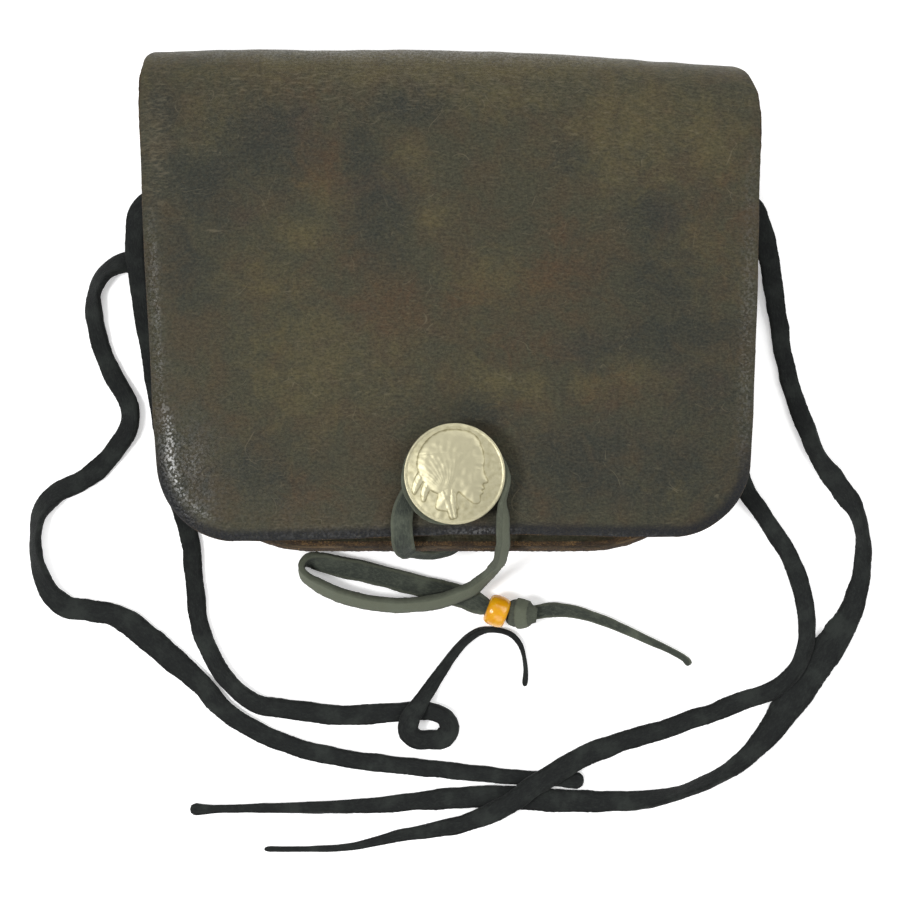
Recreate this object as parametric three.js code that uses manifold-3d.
// A small leather medicine bag with a fold-over flap, lying on its back. Millimetres.
// +X is the bag's right as one looks at its front, +Y runs up to its top fold, +Z comes out of its front.
// The origin is on the ground, under the middle of the bag without its laces.
import * as THREE from 'three';
import Module from 'manifold-3d';
import { mergeVertices } from 'three/addons/utils/BufferGeometryUtils.js';

// ---- Driving dimensions ----

const GAP = 0.3; // air kept between pieces that touch
const HIDE = 2.0; // thickness of the back and flap leather
const FRONT_HIDE = 1.6;
const GUSSET_HIDE = 1.4;

// The pouch outline, which the back panel has: straight sides, a straight bottom and large round corners.
const POUCH = { halfWidth: 59, bottom: -52.7, corner: 30, mouth: 37 };

// The top fold: a half roll from the back to the flap. Its axis drops away to the right of highX.
const FOLD = { radius: 12, axisY: 42, axisZ: 12, highX: -26, drop: 0.0005 };
const FOLD_CUTS = [THREE.MathUtils.degToRad(45), THREE.MathUtils.degToRad(135)];
// The leather's left and right edges round the fold: [degrees from the back, left x, right x].
const FOLD_EDGES = [
  [0, -59, 59],
  [80, -59.4, 58],
  [100, -62, 59.8],
  [120, -64, 61.8],
  [150, -65.1, 64],
  [180, -65.2, 64.8],
];

// The flap: a rounded, slightly tapered sheet, crowned in the middle and turned down round its rim.
const FLAP = { bottom: -49.2, slant: 0.012, corner: 15.5, taperLeft: 4.5, taperRight: 2.6 };
const FLAP_CROWN = 0.7;
const FLAP_RIM = { width: 7, drop: 1.8 };

// The front panel: padded out in the middle, with a lip turned up along its seam.
const FRONT = { top: 20.4, drop: 3.4, slope: 13, inset: 2.6, lipHeight: 1.6, lipWidth: 2.5 };

// The gusset, an outward-facing channel. Its section is [inset from the outline, height] of the outer face,
// from the back seam to the foot of the front seam, whose flange follows the front panel's lip.
const GUSSET_SECTION = [
  [0.6, 3.7],
  [2.6, 3.7],
  [4.6, 3.8],
  [5.8, 4.5],
  [6.3, 5.8],
  [6.3, 9.5],
  [6.3, 13.4],
  [6.0, 14.9],
];
const GUSSET_LIP_STATIONS = [4.6, 3.6, 2.6];
const GUSSET_TOP = 36;

// Two slits in each side of the gusset, for the strap laces: [y, z].
const SLIT = { width: 4.8, height: 2.2 };
const SLIT_PLACES = [
  [24, 9.5],
  [9, 6],
];

const STRAP = { width: 3.6, thickness: 1.3 };
const CLOSURE = { width: 4.4, thickness: 1.3 };
const LACE_STEP = { tight: 2.2, curled: 3.1, long: 5 }; // distance between sections along a lace

// The coin button and what holds it.
const COIN = { x: 1.1, y: -35.8, radius: 10.6, lift: 3.9, rim: 1.5, dome: 0.9, hollow: 0.6 };
const COIN_BASE = { discRadius: 4.5, discHeight: 1, barrelRadius: 2.6, boreRadius: 1.75 };
const COIN_SCREW = { headRadius: 4.2, headHeight: 0.8, shankRadius: 1.45, slotWidth: 1, slotDepth: 0.4 };
const FLAP_HOLE_RADIUS = 3;
const ANCHOR = { x: 3.4, z: 9.5, hole: 1.6, neck: 1.2, neckFrom: -52.8, knotFrom: -44.6, knotRadius: 2.6 };
const WRAP = { dx: -0.6, dy: -0.6, inner: 8.4, outer: 10.7, foot: 0.6, height: 2.8 };

// The bead and the knot behind it lie level with the ground, each turned clockwise from +X, in degrees.
const BEAD = { x: 10.3, y: -65.5, z: 3.8, radius: 3.4, halfLength: 2.3, hole: 1.9, turn: -21 };
const KNOT = { start: 3.1, radius: 3.3, length: 5.2, neck: 1.2, turn: -10 };

// Routes of the laces: [x, y, z, roll], with roll in degrees about the route, 0 where the lace lies flat.
const LEFT_INNER_ROUTE = [
  [-51.2, 24, 9.5, 0], [-53, 24, 9.5, 0], [-56, 24, 9.4, 0], [-59.5, 23.9, 9.1, 0],
  [-62.8, 23.2, 8.6, 0], [-65.4, 21.2, 7.8, 0], [-67, 17.8, 6.6, 0], [-67.4, 13.1, 5.2, 0],
  [-67.2, 6.7, 3.7, 0], [-66.5, -0.7, 2.2, 0], [-65.3, -8.2, 1.2, 0], [-63.8, -15.8, 0.7, 0],
  [-62.5, -23.3, 0.7, 0], [-61.2, -30.9, 0.7, 0], [-59.5, -38.5, 0.7, 0], [-57.5, -44.9, 0.7, 0],
  [-56.2, -50.8, 0.7, 0], [-55.6, -59.9, 0.7, 0], [-54.3, -69.8, 0.7, 0], [-50.6, -77.1, 0.7, 0],
  [-46.5, -82.3, 0.7, 0], [-41.1, -85.8, 0.7, 0], [-32.9, -87.1, 0.7, 0], [-23.8, -88.2, 0.7, 0],
  [-14.8, -87.8, 0.7, 0], [-7.6, -87.3, 0.7, 0], [-4, -87.3, 0.7, 0], [-1, -88.6, 0.7, 0],
  [0, -91, 0.7, 0], [-1.4, -93.2, 0.8, 0], [-4.2, -93.4, 1, 0], [-7, -93.3, 1.5, 0],
  [-8.8, -91.6, 2.2, 0], [-8.4, -88.8, 2.7, 0], [-6.7, -86, 2.6, 0], [-4.4, -82.3, 1.6, 0],
  [-1.1, -77.5, 0.7, 0], [2.5, -73, 0.7, 0], [5.8, -70.3, 0.7, 0], [8.4, -69.7, 0.7, 0],
  [11.4, -70, 0.7, 0], [13.8, -71.1, 0.7, 0], [15.4, -73.1, 0.7, 0], [16.2, -75.8, 0.7, 0],
  [16.5, -78.7, 0.7, 0], [16.3, -81.8, 0.7, 0],
];
const LEFT_OUTER_ROUTE = [
  [-51.2, 9, 6, 0], [-53, 9, 5.9, 0], [-56, 9.05, 5.5, 0], [-59.5, 9.2, 4.6, 0], [-63, 9.3, 3.2, 0],
  [-66, 9.4, 2, 0], [-68.5, 9.6, 1.2, 0], [-71, 9.3, 0.7, 0], [-74.3, 7.2, 0.7, 0],
  [-76.6, 2.8, 0.7, 0], [-77.2, -2.8, 0.7, 0], [-76.2, -8.2, 0.7, 0], [-73.8, -14.7, 0.7, 0],
  [-71.4, -19.2, 0.7, 0], [-69.9, -23.1, 0.7, 0], [-70.7, -27.9, 0.7, 0], [-74.2, -33, 0.7, 0],
  [-79.2, -37.3, 0.7, 0], [-84.6, -40, 0.7, 0], [-88, -44.4, 0.7, 0], [-88.8, -49.5, 0.7, 0],
  [-88.4, -54.9, 0.7, 0], [-86.7, -60.8, 0.7, 0], [-83.3, -64.5, 0.7, 0], [-78.1, -65.5, 0.7, 0],
  [-72.3, -66.6, 0.7, 0], [-66.6, -69.6, 0.7, 0], [-60.4, -74.9, 0.7, 0], [-53.8, -80.6, 0.7, 0],
  [-47.9, -87.3, 0.7, 0], [-39.6, -92.2, 0.7, 0], [-30.5, -95.5, 0.7, 0], [-19.3, -97.7, 0.7, 0],
  [-7.8, -99, 0.7, 0], [6.6, -100.5, 0.7, 0], [14.4, -101.4, 0.7, 0], [24.1, -102, 0.7, 0],
  [28.9, -102.4, 0.7, 0],
];
const RIGHT_OUTER_ROUTE = [
  [51.2, 24, 9.5, 0], [53, 24, 9.5, 0], [56, 24, 9.4, 0], [59.5, 23.8, 9, 0], [62.6, 22.9, 8.4, 0],
  [65, 20.8, 7.4, 0], [66.8, 17.4, 6, 0], [68.2, 12.5, 4.4, 0], [69.5, 6, 2.6, 0], [70.8, -1.5, 1.2, 0],
  [72.2, -10.4, 0.7, 0], [74.3, -18.8, 0.7, 0], [76.8, -25.5, 0.7, 0], [79.1, -31.5, 0.7, 0],
  [82.3, -36.3, 0.7, 0], [85.2, -40, 0.7, 0], [87.7, -44.5, 0.7, 0], [88.8, -49.5, 0.7, 0],
  [88.8, -55.3, 0.7, 0], [87.6, -62.9, 0.7, 0], [84.6, -70, 0.7, 0], [79.9, -77.2, 0.7, 0],
  [74.7, -85.2, 0.7, 0], [68.9, -92.9, 0.7, 0], [62.8, -98.3, 0.7, 0], [57.4, -101.6, 0.7, 0],
  [50.3, -104.6, 0.7, 0], [42.5, -106.3, 0.7, 0], [32.1, -106.8, 0.7, 0], [21.5, -106.5, 0.7, 0],
  [11.2, -105.9, 0.7, 0], [0.6, -106.1, 0.7, 0], [-16, -107.4, 0.7, 0], [-30.1, -107.8, 0.7, 0],
  [-44.1, -108, 0.7, 0], [-51, -108.3, 0.7, 0], [-55.8, -108.5, 0.7, 0],
];
const RIGHT_INNER_ROUTE = [
  [51.2, 9, 6, 0], [53, 9, 5.9, 0], [56, 9, 5.5, 0], [59.3, 8.2, 4.8, 0], [61.4, 6, 4, 0],
  [62.5, 2, 3.1, 0], [62.8, -4, 2, 0], [62.6, -11, 1.2, 0], [62.4, -19, 0.7, 0], [62.3, -27, 0.7, 0],
  [62.6, -34.1, 0.7, 0], [64, -39.6, 0.7, 0], [66.9, -43.4, 0.7, 0], [69.9, -48, 0.7, 0],
  [73.5, -53.8, 0.7, 0], [75.9, -60.3, 0.7, 0], [77.1, -66.8, 0.7, 0], [76.9, -72.8, 0.7, 0],
  [75, -77.7, 0.7, 0], [70.6, -81.7, 0.7, 0], [64.5, -84.1, 0.7, 0], [55.7, -87.5, 0.7, 0],
  [45.1, -91.2, 0.7, 0], [36, -94, 1, 0], [30.4, -96.3, 1.9, 0], [25.2, -99, 2.6, 0],
  [19.5, -102.4, 2.7, 0], [13.7, -106.5, 2.7, 0], [7.9, -109.7, 2.2, 0], [2.3, -111.7, 1.2, 0],
  [-4.6, -113.2, 0.7, 0], [-11.3, -114.3, 0.7, 0], [-20.6, -116.3, 0.7, 0], [-30.1, -116.9, 0.7, 0],
  [-35.5, -116.9, 0.7, 0], [-39.8, -116.9, 0.7, 0],
];
const LEFT_BRIDGE_ROUTE = [
  [-50.9, 24, 9.5, 0], [-48.6, 23.9, 9.4, 0], [-46.9, 22.6, 9.1, 0], [-46.2, 20, 8.6, 0],
  [-46.1, 16.5, 7.8, 0], [-46.2, 13, 6.9, 0], [-46.9, 10.4, 6.3, 0], [-48.6, 9.1, 6, 0],
  [-50.9, 9, 6, 0],
];
const HOOK_ROUTE = [
  [1, -53, 9.5, -240], [-2.5, -53.2, 9.9, -239], [-5.9, -53.5, 11.2, -243], [-8.3, -53.6, 14, -247],
  [-9.7, -53.4, 17.5, -224], [-10.1, -52.5, 20.8, -183], [-10.1, -50.9, 23.4, -178],
  [-9.9, -48.3, 24.7, -179], [-9.8, -45.1, 25.1, -179],
];
const CLOSURE_ROUTE = [
  [11, -41.7, 27.1, -80], [11.2, -44.4, 27.1, -62], [11.3, -47.3, 26.8, -54], [11.5, -49.9, 25.3, -50],
  [11.1, -52.5, 22, -50], [10.4, -54.6, 17.2, -55], [9.3, -56.2, 12.6, -60], [8, -57.7, 9.4, -60],
  [6.4, -59.2, 7.2, -56], [4.6, -60.7, 5.6, -50], [2.2, -61.9, 4.5, -46], [-0.7, -62.9, 3.6, -44],
  [-4.2, -63.6, 2.9, -46], [-8.2, -64.1, 2.5, -46], [-12.8, -64.1, 2.4, -46], [-18.2, -63.4, 2.4, -46],
  [-23.5, -62.1, 2.4, -48], [-28.1, -60.1, 2.4, -56], [-31.1, -58, 2.5, -70], [-31.7, -55.9, 2.6, -92],
  [-30.2, -54.7, 2.5, -118], [-27.4, -55.1, 2.1, -145], [-23.8, -56, 1.6, -158],
  [-16, -57.7, 1.3, -166], [-8.3, -59.8, 1, -172], [-2, -61.3, 0.8, -178], [2.7, -62.6, 0.9, -180],
  [5.3, -63.6, 1.9, -180], [7.3, -64.4, 3, -180],
];
const TIP_ROUTE = [
  [19.4, -65.7, 3, -180], [21, -65.4, 2.3, -180], [22.8, -65.4, 1.2, -180], [27.2, -66, 0.7, -180],
  [33.6, -68.3, 0.7, -180], [41.2, -71.7, 0.7, -180], [47.7, -74.5, 0.7, -180], [51, -76.1, 0.8, -170],
];

// ---- Helpers ----

const { cos, hypot, max, min, sin, sqrt } = Math;
const { degToRad, lerp, smoothstep } = THREE.MathUtils;
const RIGHT_ANGLE = Math.PI / 2;

/** Evenly spaced numbers from a to b, both included. */
function spread(a, b, count) {
  return Array.from({ length: count + 1 }, (_, i) => lerp(a, b, i / count));
}

/** Direction of travel at one of a run of points, from its neighbours, or from the next two at an end. */
function heading(points, i) {
  const last = points.length - 1;
  if (i > 0 && i < last) {
    return points[i + 1].clone().sub(points[i - 1]);
  }
  const step = i === 0 ? 1 : -1;
  const [near, far] = [points[i + step], points[i + 2 * step]];
  return near.clone().multiplyScalar(4).addScaledVector(points[i], -3).sub(far).multiplyScalar(step);
}

/** A closed sheet of leather: rows of points on its outer face, with thickness laid off behind them. */
function sheet(rows, thickness) {
  const down = rows.length;
  const across = rows[0].length;
  const outer = (i, j) => i * across + j;
  const inner = (i, j) => down * across + outer(i, j);
  const columns = rows[0].map((_, j) => rows.map((row) => row[j]));
  const faces = [];
  const backs = [];
  for (let i = 0; i < down; i++) {
    for (let j = 0; j < across; j++) {
      const normal = heading(columns[j], i).cross(heading(rows[i], j)).normalize();
      faces.push(...rows[i][j]);
      backs.push(...rows[i][j].clone().addScaledVector(normal, -thickness));
    }
  }
  const index = [];
  const quad = (a, b, c, d) => index.push(a, b, c, a, c, d);
  for (let i = 0; i < down - 1; i++) {
    for (let j = 0; j < across - 1; j++) {
      quad(outer(i, j), outer(i + 1, j), outer(i + 1, j + 1), outer(i, j + 1));
      quad(inner(i, j), inner(i, j + 1), inner(i + 1, j + 1), inner(i + 1, j));
    }
    quad(outer(i, 0), inner(i, 0), inner(i + 1, 0), outer(i + 1, 0));
    quad(outer(i, across - 1), outer(i + 1, across - 1), inner(i + 1, across - 1), inner(i, across - 1));
  }
  for (let j = 0; j < across - 1; j++) {
    quad(outer(0, j), outer(0, j + 1), inner(0, j + 1), inner(0, j));
    quad(outer(down - 1, j), inner(down - 1, j), inner(down - 1, j + 1), outer(down - 1, j + 1));
  }
  const geometry = new THREE.BufferGeometry();
  geometry.setAttribute('position', new THREE.Float32BufferAttribute([...faces, ...backs], 3));
  geometry.setIndex(index);
  return geometry;
}

/** A smooth route whose cross-section is turned by a roll angle that changes along it. */
class LaceRoute extends THREE.CatmullRomCurve3 {
  constructor(points) {
    super(points.map(([x, y, z]) => new THREE.Vector3(x, y, z)), false, 'centripetal');
    this.rolls = points.map((point) => degToRad(point[3]));
  }

  rollAt(t) {
    const place = t * (this.rolls.length - 1);
    const i = min(Math.floor(place), this.rolls.length - 2);
    return lerp(this.rolls[i], this.rolls[i + 1], place - i);
  }

  computeFrenetFrames(segments) {
    const frames = { tangents: [], normals: [], binormals: [] };
    const up = new THREE.Vector3(0, 0, 1);
    for (let i = 0; i <= segments; i++) {
      const t = this.getUtoTmapping(i / segments);
      const tangent = this.getTangent(t);
      const side = up.clone().cross(tangent).normalize();
      const rise = tangent.clone().cross(side);
      const roll = this.rollAt(t);
      frames.tangents.push(tangent);
      frames.normals.push(side.clone().multiplyScalar(cos(roll)).addScaledVector(rise, sin(roll)));
      frames.binormals.push(rise.multiplyScalar(cos(roll)).addScaledVector(side, -sin(roll)));
    }
    return frames;
  }
}

/** A flat lace of suede: a bevelled strip swept along its route. */
function lace(points, { width, thickness }, stepLength) {
  const w = width / 2;
  const h = thickness / 2;
  const bevel = h * 0.6;
  const section = new THREE.Shape([
    new THREE.Vector2(w, -h + bevel),
    new THREE.Vector2(w, h - bevel),
    new THREE.Vector2(w - bevel, h),
    new THREE.Vector2(-w + bevel, h),
    new THREE.Vector2(-w, h - bevel),
    new THREE.Vector2(-w, -h + bevel),
    new THREE.Vector2(-w + bevel, -h),
    new THREE.Vector2(w - bevel, -h),
  ]);
  const route = new LaceRoute(points);
  const steps = Math.ceil(route.getLength() / stepLength);
  return new THREE.ExtrudeGeometry(section, { steps, extrudePath: route, curveSegments: 1 });
}

/** The same points with left and right exchanged. */
function mirrored(points) {
  return points.map(([x, ...rest]) => [-x, ...rest]);
}

const wasm = await Module();
wasm.setup();

/** A three.js geometry as a solid that can be cut. */
function solid(geometry) {
  const bare = geometry.clone();
  bare.deleteAttribute('normal');
  bare.deleteAttribute('uv');
  const merged = mergeVertices(bare, 1e-5);
  const vertProperties = new Float32Array(merged.attributes.position.array);
  const triVerts = new Uint32Array(merged.index.array);
  return new wasm.Manifold(new wasm.Mesh({ numProp: 3, vertProperties, triVerts }));
}

/** A piece with tools cut out of it, as a geometry again. */
function cut(geometry, tools) {
  const body = tools.reduce((left, tool) => left.subtract(solid(tool)), solid(geometry));
  const mesh = body.getMesh();
  const result = new THREE.BufferGeometry();
  result.setAttribute('position', new THREE.Float32BufferAttribute(mesh.vertProperties, 3));
  result.setIndex(Array.from(mesh.triVerts));
  return result;
}

/** A solid of revolution about the Z axis, from a profile of [radius, height]. */
function turned(profile, segments) {
  const points = profile.map(([r, z]) => new THREE.Vector2(r, z));
  return new THREE.LatheGeometry(points, segments).rotateX(RIGHT_ANGLE);
}

const bag = new THREE.Group();

/** Adds one named piece to the bag. */
function add(name, geometry, { color, roughness, metalness = 0 }) {
  const mesh = new THREE.Mesh(geometry, new THREE.MeshStandardMaterial({ color, roughness, metalness }));
  mesh.name = name;
  bag.add(mesh);
  return mesh;
}

// ---- Materials ----

const SMOOTH_HIDE = { color: 0x3b342a, roughness: 0.5 };
const ROUGH_HIDE = { color: 0x57422c, roughness: 0.85 };
const BLACK_SUEDE = { color: 0x23262a, roughness: 0.95 };
const GREY_SUEDE = { color: 0x474b43, roughness: 0.95 };
const NICKEL = { color: 0xb9b39a, roughness: 0.35, metalness: 1 };
const BRASS = { color: 0x9c8148, roughness: 0.4, metalness: 1 };
const AMBER_GLASS = { color: 0xf0a414, roughness: 0.15 };

// ---- The back, top fold and flap: one hide, cut where it bends ----

const foldAxisY = (x) => FOLD.axisY - FOLD.drop * (x - FOLD.highX) ** 2;

/** Left and right edges of the hide at an angle round the fold, from 0 at the back to pi at the flap. */
function foldEdges(angle) {
  const degrees = THREE.MathUtils.radToDeg(angle);
  const after = max(1, FOLD_EDGES.findIndex(([at]) => at >= degrees - 1e-9));
  const [from, to] = [FOLD_EDGES[after - 1], FOLD_EDGES[after]];
  const t = (degrees - from[0]) / (to[0] - from[0]);
  return [lerp(from[1], to[1], t), lerp(from[2], to[2], t)];
}

/** One row of points across the outer face of the fold. */
function foldRow(angle, columns) {
  const [left, right] = foldEdges(angle);
  return spread(left, right, columns).map(
    (x) =>
      new THREE.Vector3(
        x,
        foldAxisY(x) + FOLD.radius * sin(angle),
        FOLD.axisZ - FOLD.radius * cos(angle),
      ),
  );
}

/** How far a point is inside the pouch outline, which has no top edge. */
function pouchInset(x, y) {
  const { halfWidth, bottom, corner } = POUCH;
  const qx = Math.abs(x) - (halfWidth - corner);
  const qy = bottom + corner - y;
  return corner - hypot(max(qx, 0), max(qy, 0)) - min(max(qx, qy), 0);
}

/** Rows of the round-cornered lower end of a panel: [y, half width], from the bottom edge up to the mouth. */
function panelStations(inset, cornerSteps, sideSteps, top) {
  const radius = POUCH.corner - inset;
  const centreX = POUCH.halfWidth - POUCH.corner;
  const centreY = POUCH.bottom + POUCH.corner;
  const corner = spread(0, RIGHT_ANGLE, cornerSteps).map((a) => [
    centreY - radius * cos(a),
    centreX + radius * sin(a),
  ]);
  const side = spread(centreY, top, sideSteps).slice(1);
  return [...corner, ...side.map((y) => [y, centreX + radius])];
}

const BACK_COLUMNS = 10;
const backRows = panelStations(0, 10, 5, foldAxisY(POUCH.halfWidth) - 2).map(([y, halfWidth]) =>
  spread(-halfWidth, halfWidth, BACK_COLUMNS).map((x) => new THREE.Vector3(x, y, 0)),
);
const cutAngle = GAP / 2 / FOLD.radius;
for (const angle of spread(0, FOLD_CUTS[0] - cutAngle, 5)) {
  backRows.push(foldRow(angle, BACK_COLUMNS));
}
add('back_panel', sheet(backRows, HIDE), SMOOTH_HIDE);

const topRows = spread(FOLD_CUTS[0] + cutAngle, FOLD_CUTS[1] - cutAngle, 10).map((angle) =>
  foldRow(angle, BACK_COLUMNS),
);
add('top_fold', sheet(topRows, HIDE), SMOOTH_HIDE);

const flapBottom = (x) => FLAP.bottom + FLAP.slant * x;

/** Side edges of the flap a share v of the way down, before its corners are rounded. */
function flapSides(v) {
  const [left, right] = foldEdges(Math.PI);
  return [left + FLAP.taperLeft * v ** 1.5, right - FLAP.taperRight * v ** 2];
}

/** How far a point is inside the flap's rim, which has no top edge. */
function flapInset(x, y) {
  const v = (FOLD.axisY - y) / (FOLD.axisY - FLAP.bottom);
  const [left, right] = flapSides(max(v, 0));
  const qx = max(left + FLAP.corner - x, x - right + FLAP.corner);
  const qy = flapBottom(x) + FLAP.corner - y;
  return FLAP.corner - hypot(max(qx, 0), max(qy, 0)) - min(max(qx, qy), 0);
}

/** Height of the flap's outer face. */
function flapHeight(x, y) {
  const v = (foldAxisY(x) - y) / (foldAxisY(x) - flapBottom(x));
  const rim = max(0, 1 - flapInset(x, y) / FLAP_RIM.width) ** 2;
  const across = 1 - (x / POUCH.halfWidth) ** 2;
  return (
    FOLD.axisZ + FOLD.radius + FLAP_CROWN * sin(Math.PI * v) * across - FLAP_RIM.drop * rim * smoothstep(v, 0, 0.15)
  );
}

/** Evenly spread numbers from -1 to 1, drawn closer together towards both ends. */
function towardsEnds(count) {
  return spread(-1, 1, count).map((t) => t * (1.5 - 0.5 * t * t));
}

const FLAP_COLUMNS = 18;
const flapLength = FOLD.axisY - FLAP.bottom;
const flapRows = spread(FOLD_CUTS[1] + cutAngle, Math.PI, 5)
  .slice(0, -1)
  .map((angle) => {
    const [left, right] = foldEdges(angle);
    return towardsEnds(FLAP_COLUMNS).map((t) => {
      const x = lerp(left, right, (t + 1) / 2);
      const y = foldAxisY(x) + FOLD.radius * sin(angle);
      return new THREE.Vector3(x, y, FOLD.axisZ - FOLD.radius * cos(angle));
    });
  });
const cornerShare = FLAP.corner / flapLength;
const flapStations = [
  ...spread(0, 1 - cornerShare, 9).map((v) => [v, 0]),
  ...spread(0, RIGHT_ANGLE, 7)
    .slice(1)
    .map((a) => [1 - cornerShare * (1 - sin(a)), FLAP.corner * (1 - cos(a))]),
];
for (const [v, rounding] of flapStations) {
  const [left, right] = flapSides(v);
  flapRows.push(
    towardsEnds(FLAP_COLUMNS).map((t) => {
      const x = lerp(left + rounding, right - rounding, (t + 1) / 2);
      const y = lerp(foldAxisY(x), flapBottom(x), v);
      return new THREE.Vector3(x, y, flapHeight(x, y));
    }),
  );
}
const coinSeat = flapHeight(COIN.x, COIN.y);
const flapHole = new THREE.CylinderGeometry(FLAP_HOLE_RADIUS, FLAP_HOLE_RADIUS, 3 * HIDE, 16)
  .rotateX(RIGHT_ANGLE)
  .translate(COIN.x, COIN.y, coinSeat - HIDE / 2);
add('flap', cut(sheet(flapRows, HIDE), [flapHole]), SMOOTH_HIDE);

// ---- The pouch: front panel and gusset ----

/** Height of the front panel's outer face, from how far inside the outline a point is. */
function frontHeight(inset) {
  const slope = max(0, 1 - inset / FRONT.slope) ** 2;
  const lip = max(0, 1 - (inset - FRONT.inset) / FRONT.lipWidth) ** 2;
  return FRONT.top - FRONT.drop * slope + FRONT.lipHeight * lip;
}

const FRONT_COLUMNS = 18;
const frontRows = panelStations(FRONT.inset, 11, 6, POUCH.mouth)
  .reverse()
  .map(([y, halfWidth]) =>
    towardsEnds(FRONT_COLUMNS).map((t) => {
      const x = t * halfWidth;
      return new THREE.Vector3(x, y, frontHeight(pouchInset(x, y)));
    }),
  );
add('front_panel', sheet(frontRows, FRONT_HIDE), SMOOTH_HIDE);

/** A point a depth behind the front panel's outer face: [inset, height]. */
function behindFront(inset, depth) {
  const small = 0.01;
  const rise = (frontHeight(inset + small) - frontHeight(inset - small)) / (2 * small);
  const length = hypot(rise, 1);
  return [inset + (rise * depth) / length, frontHeight(inset) - depth / length];
}

const lipDepth = FRONT_HIDE + GAP + GUSSET_HIDE;
const gussetSection = [
  ...GUSSET_SECTION,
  ...GUSSET_LIP_STATIONS.map((inset) => behindFront(inset, lipDepth)),
];

/** Stations round the pouch from the left of the mouth to the right: [point on the outline, inward direction]. */
function outlineStations() {
  const centreX = POUCH.halfWidth - POUCH.corner;
  const centreY = POUCH.bottom + POUCH.corner;
  const left = spread(GUSSET_TOP, centreY, 5).map((y) => [-POUCH.halfWidth, y, 1, 0]);
  const corner = spread(0, RIGHT_ANGLE, 7)
    .slice(1)
    .map((a) => [-centreX - POUCH.corner * cos(a), centreY - POUCH.corner * sin(a), cos(a), sin(a)]);
  const bottom = spread(-centreX, 0, 2).slice(1).map((x) => [x, POUCH.bottom, 0, 1]);
  const half = [...left, ...corner, ...bottom];
  const otherHalf = half.slice(0, -1).reverse();
  return [...half, ...otherHalf.map(([x, y, dx, dy]) => [-x, y, -dx, dy])];
}

const gussetRows = outlineStations().map(([x, y, dx, dy]) =>
  gussetSection.map(([inset, z]) => new THREE.Vector3(x + dx * inset, y + dy * inset, z)),
);
const slits = [-1, 1].flatMap((side) =>
  SLIT_PLACES.map(([y, z]) =>
    new THREE.BoxGeometry(4 * GUSSET_HIDE, SLIT.width, SLIT.height).translate(
      side * (POUCH.halfWidth - GUSSET_SECTION.at(-2)[0]),
      y,
      z,
    ),
  ),
);
const anchorHole = new THREE.CylinderGeometry(ANCHOR.hole, ANCHOR.hole, 4 * GUSSET_HIDE, 12)
  .translate(ANCHOR.x, POUCH.bottom + GUSSET_SECTION.at(-2)[0], ANCHOR.z);
add('gusset', cut(sheet(gussetRows, GUSSET_HIDE), [...slits, anchorHole]), ROUGH_HIDE);

// ---- The coin button ----

const coinFoot = coinSeat + COIN.lift;
const coinRim = coinFoot + COIN.rim;
const edge = 0.25;
const dome = spread(0, 1, 5).map((t) => [
  (COIN.radius - 3 * edge) * (1 - t),
  coinRim - edge + (COIN.dome + edge) * (1 - (1 - t) ** 2),
]);
const coinProfile = [
  [0, coinFoot + COIN.hollow],
  [COIN.radius * 0.55, coinFoot + COIN.hollow * 0.7],
  [COIN.radius - edge, coinFoot],
  [COIN.radius, coinFoot + edge],
  [COIN.radius, coinRim - edge],
  [COIN.radius - edge, coinRim],
  [COIN.radius - 2 * edge, coinRim],
  ...dome,
];
add('coin', turned(coinProfile, 40).translate(COIN.x, COIN.y, 0), NICKEL);

const baseTop = coinFoot + COIN.hollow * 0.7 - GAP;
const barrelFoot = coinSeat - HIDE * 0.8;
const baseProfile = [
  [COIN_BASE.boreRadius, barrelFoot],
  [COIN_BASE.barrelRadius, barrelFoot],
  [COIN_BASE.barrelRadius, baseTop - COIN_BASE.discHeight],
  [COIN_BASE.discRadius, baseTop - COIN_BASE.discHeight],
  [COIN_BASE.discRadius, baseTop],
  [0, baseTop],
];
const boreTop = baseTop - COIN_BASE.discHeight;
const base = turned([[0, boreTop], [COIN_BASE.boreRadius, boreTop], ...baseProfile], 24);
add('coin_base', base.translate(COIN.x, COIN.y, 0), BRASS);

const headTop = coinSeat - HIDE - GAP;
const headFoot = headTop - COIN_SCREW.headHeight;
const screwProfile = [
  [0, headFoot],
  [COIN_SCREW.headRadius - edge, headFoot],
  [COIN_SCREW.headRadius, headFoot + edge],
  [COIN_SCREW.headRadius, headTop],
  [COIN_SCREW.shankRadius, headTop],
  [COIN_SCREW.shankRadius, boreTop - GAP - edge],
  [COIN_SCREW.shankRadius - edge, boreTop - GAP],
  [0, boreTop - GAP],
];
const slot = new THREE.BoxGeometry(3 * COIN_SCREW.headRadius, COIN_SCREW.slotWidth, 2 * COIN_SCREW.slotDepth)
  .translate(0, 0, headFoot);
const screw = cut(turned(screwProfile, 24), [slot]);
add('coin_screw', screw.translate(COIN.x, COIN.y, 0), BRASS);

// ---- The closure lace, its bead and its knot ----

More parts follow.
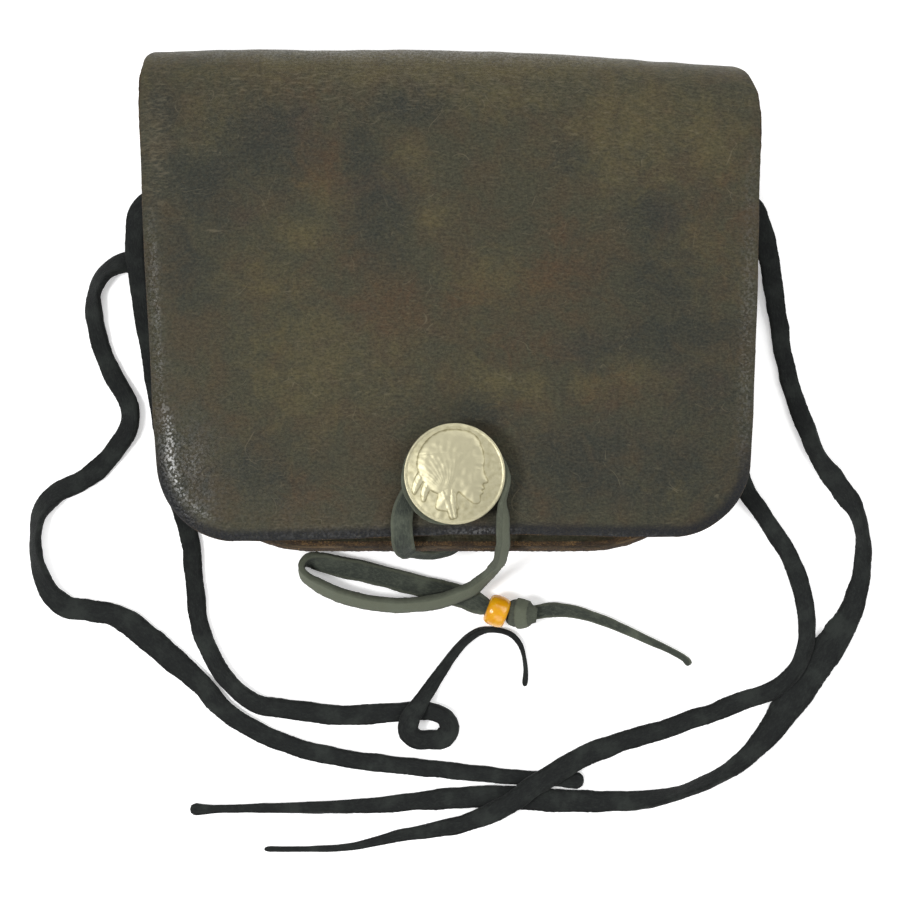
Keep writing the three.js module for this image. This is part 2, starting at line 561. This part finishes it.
const wrapFoot = coinSeat + WRAP.foot;
const wrapProfile = [
  [WRAP.inner, wrapFoot],
  [WRAP.outer - edge, wrapFoot],
  [WRAP.outer, wrapFoot + edge],
  [WRAP.outer, wrapFoot + WRAP.height - edge],
  [WRAP.outer - edge, wrapFoot + WRAP.height],
  [WRAP.inner, wrapFoot + WRAP.height],
  [WRAP.inner, wrapFoot],
];
const wrap = turned(wrapProfile, 32).translate(COIN.x + WRAP.dx, COIN.y + WRAP.dy, 0);
add('closure_lace_wrap', wrap, GREY_SUEDE);
add('closure_lace_hook', lace(HOOK_ROUTE, CLOSURE, LACE_STEP.tight), GREY_SUEDE);
add('closure_lace', lace(CLOSURE_ROUTE, CLOSURE, LACE_STEP.curled), GREY_SUEDE);
add('closure_lace_tip', lace(TIP_ROUTE, STRAP, LACE_STEP.long), GREY_SUEDE);

// The lace's other end comes through the bottom of the gusset from a knot inside the pouch.
const anchorProfile = [
  [0, ANCHOR.neckFrom],
  [ANCHOR.neck, ANCHOR.neckFrom],
  [ANCHOR.neck, ANCHOR.knotFrom],
  [ANCHOR.knotRadius * 0.8, ANCHOR.knotFrom + 0.3],
  [ANCHOR.knotRadius, ANCHOR.knotFrom + 1.5],
  [ANCHOR.knotRadius, ANCHOR.knotFrom + 2.7],
  [ANCHOR.knotRadius * 0.6, ANCHOR.knotFrom + 4],
  [0, ANCHOR.knotFrom + 4.2],
];
const anchor = turned(anchorProfile, 16).rotateX(-RIGHT_ANGLE).translate(ANCHOR.x, 0, ANCHOR.z);
add('closure_anchor_knot', anchor, GREY_SUEDE);

/** Lays a piece that was turned about Z level with the ground, with its middle at the bead's middle. */
function alongBead(geometry, turn) {
  return geometry.rotateY(RIGHT_ANGLE).rotateZ(degToRad(turn)).translate(BEAD.x, BEAD.y, BEAD.z);
}

const beadHalf = [
  [BEAD.hole, BEAD.halfLength * 0.8],
  [BEAD.radius * 0.72, BEAD.halfLength],
  [BEAD.radius * 0.92, BEAD.halfLength * 0.75],
  [BEAD.radius, BEAD.halfLength * 0.2],
];
const beadProfile = [
  ...beadHalf.map(([r, z]) => [r, -z]),
  ...beadHalf.toReversed(),
  [BEAD.hole, -BEAD.halfLength * 0.8],
];
add('bead', alongBead(turned(beadProfile, 24), BEAD.turn), AMBER_GLASS);

const knotProfile = [
  [0, -BEAD.halfLength],
  [KNOT.neck, -BEAD.halfLength],
  [KNOT.neck, KNOT.start],
  [KNOT.radius * 0.7, KNOT.start + KNOT.length * 0.06],
  [KNOT.radius, KNOT.start + KNOT.length * 0.25],
  [KNOT.radius * 0.97, KNOT.start + KNOT.length * 0.5],
  [KNOT.radius * 0.7, KNOT.start + KNOT.length * 0.85],
  [KNOT.radius * 0.4, KNOT.start + KNOT.length],
  [0, KNOT.start + KNOT.length],
];
add('lace_knot', alongBead(turned(knotProfile, 16), KNOT.turn), GREY_SUEDE);

// ---- The strap laces, through the slits in the gusset ----

add('strap_lace_left_inner', lace(LEFT_INNER_ROUTE, STRAP, LACE_STEP.curled), BLACK_SUEDE);
add('strap_lace_left_outer', lace(LEFT_OUTER_ROUTE, STRAP, LACE_STEP.long), BLACK_SUEDE);
add('strap_lace_right_outer', lace(RIGHT_OUTER_ROUTE, STRAP, LACE_STEP.long), BLACK_SUEDE);
add('strap_lace_right_inner', lace(RIGHT_INNER_ROUTE, STRAP, LACE_STEP.long), BLACK_SUEDE);
add('strap_bridge_left', lace(LEFT_BRIDGE_ROUTE, STRAP, LACE_STEP.tight), BLACK_SUEDE);
add('strap_bridge_right', lace(mirrored(LEFT_BRIDGE_ROUTE), STRAP, LACE_STEP.tight), BLACK_SUEDE);

export default bag;
